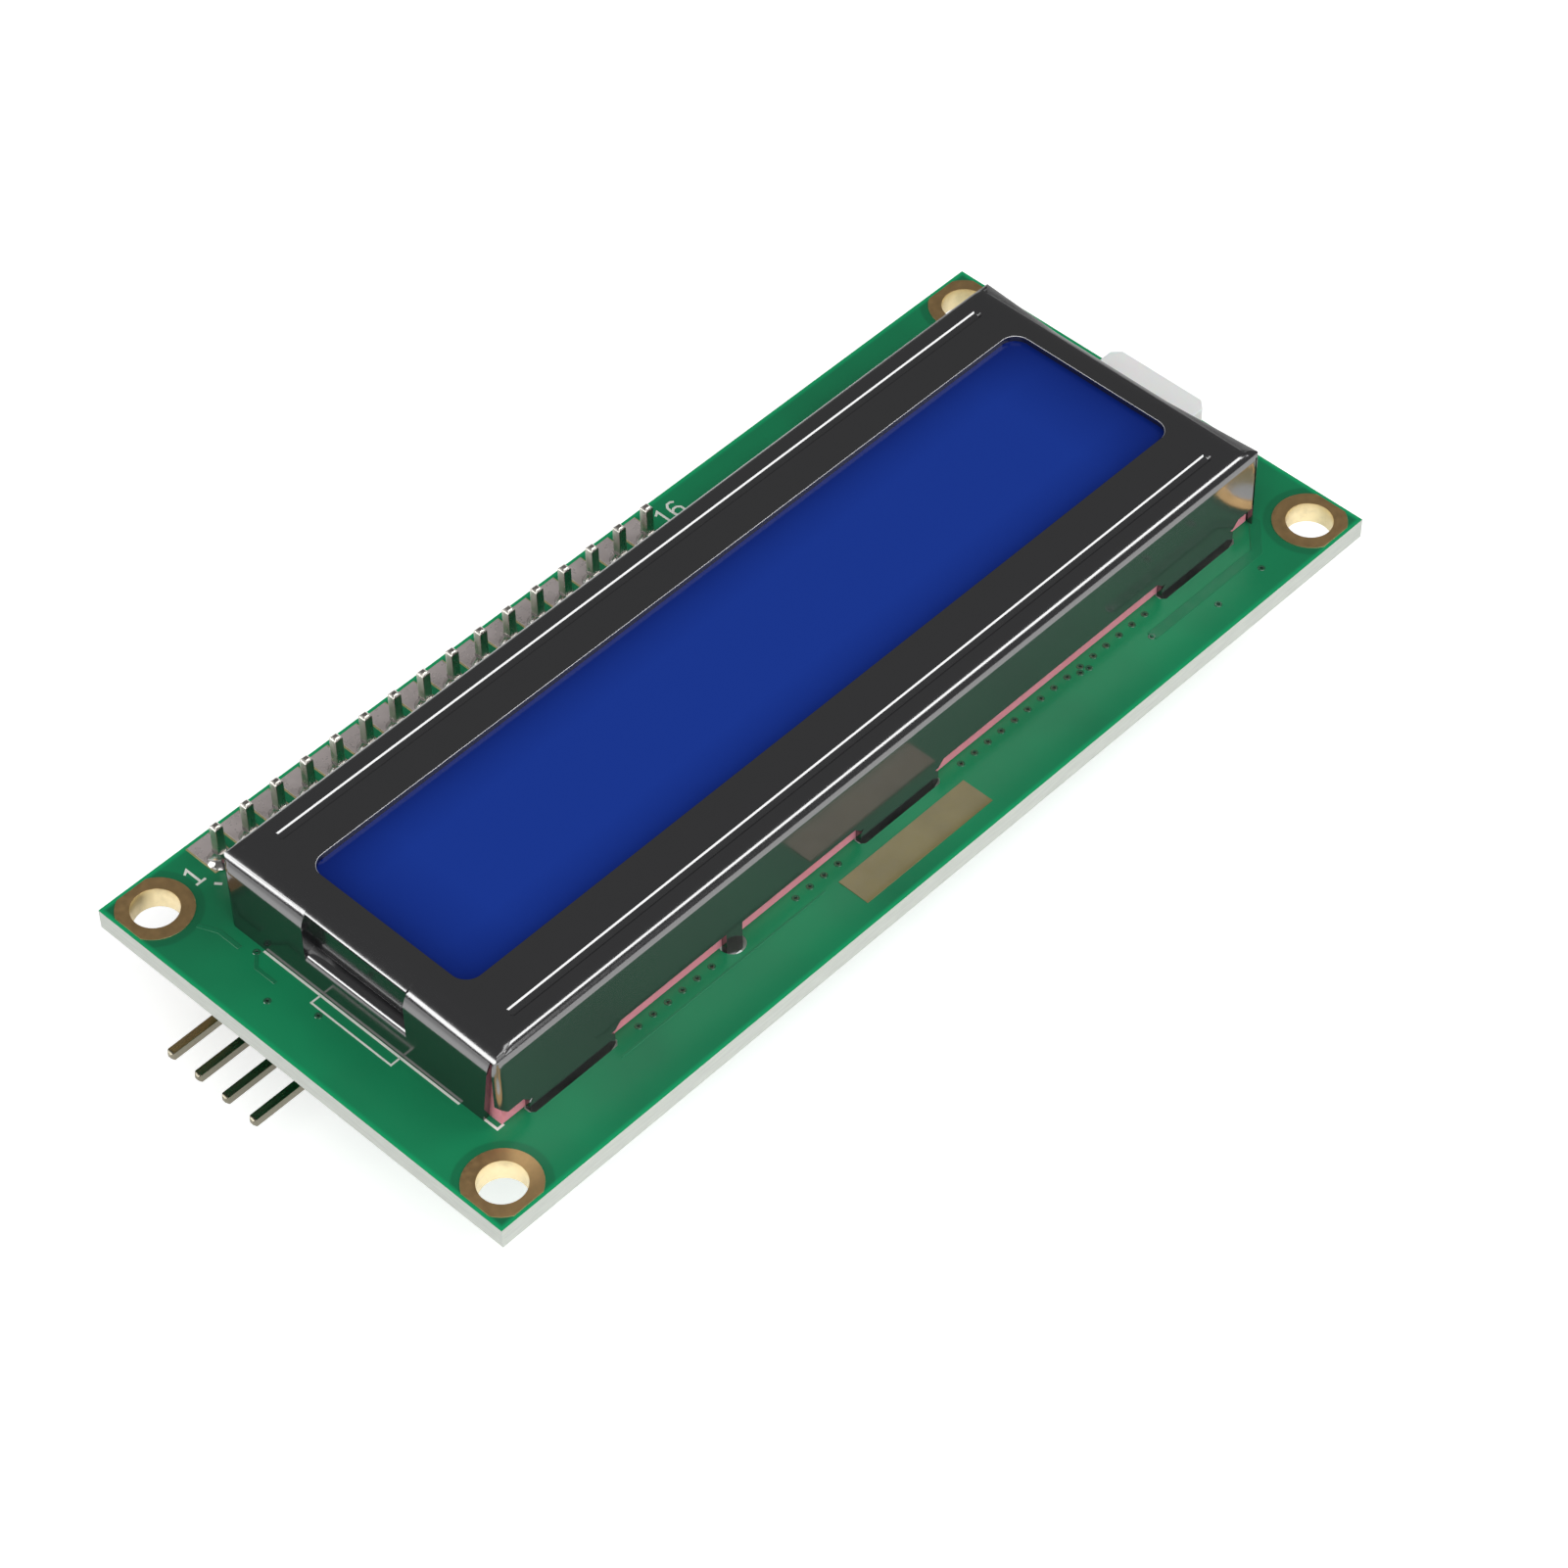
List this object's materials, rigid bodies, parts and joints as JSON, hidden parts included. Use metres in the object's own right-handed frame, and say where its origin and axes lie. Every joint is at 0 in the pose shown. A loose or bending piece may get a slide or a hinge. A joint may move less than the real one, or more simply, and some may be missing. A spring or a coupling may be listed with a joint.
{
  "type": "character lcd module",
  "caption": "Character display module with a folded black bezel, a row of through pins and a serial adapter board soldered behind it.",
  "frame": {"origin": "centre of the four mounting holes, on the front face of the main board", "axes": "+X along the board, away from the angled bus pins; +Y towards the row of through pins; +Z out of the display, along the mounting screws"},
  "size_m": [0.0815, 0.036, 0.0176],
  "materials": {
    "green_solder_mask": "satin solder mask over glass fibre board",
    "gold_plating": "plated, satin",
    "black_bezel": "gloss black over steel sheet",
    "blue_display_film": "smooth, deep blue",
    "clear_glass": "polished",
    "grey_film": "smooth film",
    "pink_silicone": "soft matt",
    "white_plastic": "moulded",
    "white_film": "smooth film",
    "clear_acrylic": "polished",
    "pale_board": "satin",
    "lamp_white": "moulded",
    "tinned_metal": "tin plate, satin",
    "solder": "flowed solder",
    "black_resin": "glossy resin",
    "resistor_black": "ceramic with tinned ends",
    "capacitor_tan": "ceramic with tinned ends",
    "black_nylon": "moulded",
    "dark_solder_mask": "satin solder mask",
    "cap_plastic": "moulded",
    "bronze_clip": "rolled sheet",
    "chip_black": "moulded resin",
    "trimmer_blue": "moulded",
    "rotor_white": "moulded",
    "lamp_red": "clear red resin"
  },
  "bodies": {
    "module": {"main_board": "green_solder_mask", "mounting_hole_plating": "gold_plating", "bezel_frame": "black_bezel", "front_polarizer": "blue_display_film", "front_glass": "clear_glass", "rear_glass": "clear_glass", "rear_polarizer": "grey_film", "contact_strip_front": "pink_silicone", "contact_strip_rear": "pink_silicone", "backlight_tray": "white_plastic", "reflector_film": "white_film", "diffuser_film": "white_film", "light_guide": "clear_acrylic", "lamp_board": "pale_board", "backlight_lamps": "lamp_white", "backlight_terminals": "tinned_metal", "terminal_solder": "solder", "controller_dome": "black_resin", "driver_dome": "black_resin", "board_resistors": "resistor_black", "board_capacitors": "capacitor_tan", "header_pins": "tinned_metal", "header_strip": "black_nylon", "header_solder_front": "solder", "header_solder_rear": "solder", "adapter_board": "dark_solder_mask", "adapter_pin_solder": "solder", "bus_header_body": "black_nylon", "bus_header_pins": "tinned_metal", "jumper_header_body": "black_nylon", "jumper_pins": "tinned_metal", "expander_chip": "chip_black", "expander_leads": "tinned_metal", "trimmer_base": "trimmer_blue", "trimmer_housing": "trimmer_blue", "trimmer_pins": "tinned_metal", "switch_transistor": "chip_black", "transistor_leads": "tinned_metal", "power_lamp": "lamp_red", "adapter_resistors": "resistor_black", "adapter_capacitors": "capacitor_tan"},
    "contrast_rotor": {"trimmer_rotor": "rotor_white"},
    "jumper_cap": {"jumper_cap_shell": "cap_plastic", "jumper_cap_clip": "bronze_clip"}
  },
  "joints": [
    {"name": "contrast_turn", "type": "hinge", "parent": "module", "child": "contrast_rotor", "pos_m": [-0.0065, 0.0066, -0.0106], "axis": [0, 0, 1], "range_deg": [-130, 130]},
    {"name": "jumper_pull", "type": "slide", "parent": "module", "child": "jumper_cap", "axis": [1, 0, 0], "range_m": [0, 0.0064]}
  ]
}
